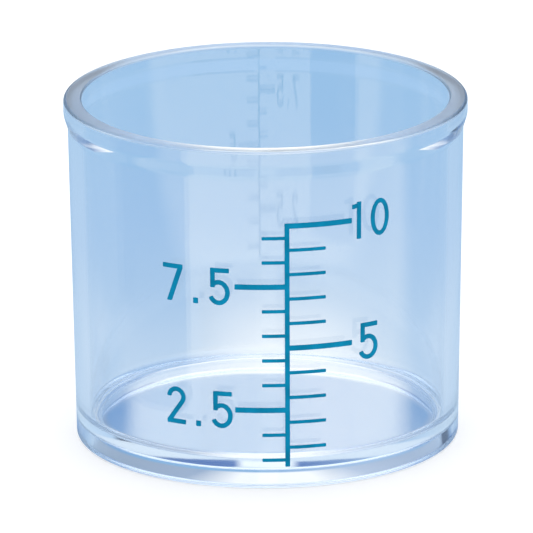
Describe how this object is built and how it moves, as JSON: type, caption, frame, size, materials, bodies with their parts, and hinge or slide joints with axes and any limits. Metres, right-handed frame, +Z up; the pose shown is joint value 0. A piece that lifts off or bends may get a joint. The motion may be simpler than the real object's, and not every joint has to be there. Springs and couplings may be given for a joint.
{
  "type": "graduated measuring cup",
  "caption": "Small clear open cup, slightly tapered, with a banded rim and a printed millilitre scale, for drawing off and checking a fuel sample.",
  "frame": {"origin": "centre of the foot ring, on the plane the cup stands on", "axes": "+Z up along the cup's axis; the spine of the printed scale faces -Y; +X to the reader's right"},
  "size_m": [0.0294, 0.0294, 0.0254],
  "materials": {
    "clear_plastic": "clear injection-moulded polystyrene, very slightly blue, polished inside and out",
    "scale_ink": "thin satin screen-printed ink, dark teal blue"
  },
  "bodies": {
    "root": {"cup_body": "clear_plastic", "scale_spine": "scale_ink", "mark_10_ml": "scale_ink", "mark_7_5_ml": "scale_ink", "mark_5_ml": "scale_ink", "mark_2_5_ml": "scale_ink", "whole_ml_marks": "scale_ink", "half_ml_marks": "scale_ink", "numeral_10": "scale_ink", "numeral_7_5": "scale_ink", "numeral_5": "scale_ink", "numeral_2_5": "scale_ink"}
  },
  "joints": []
}
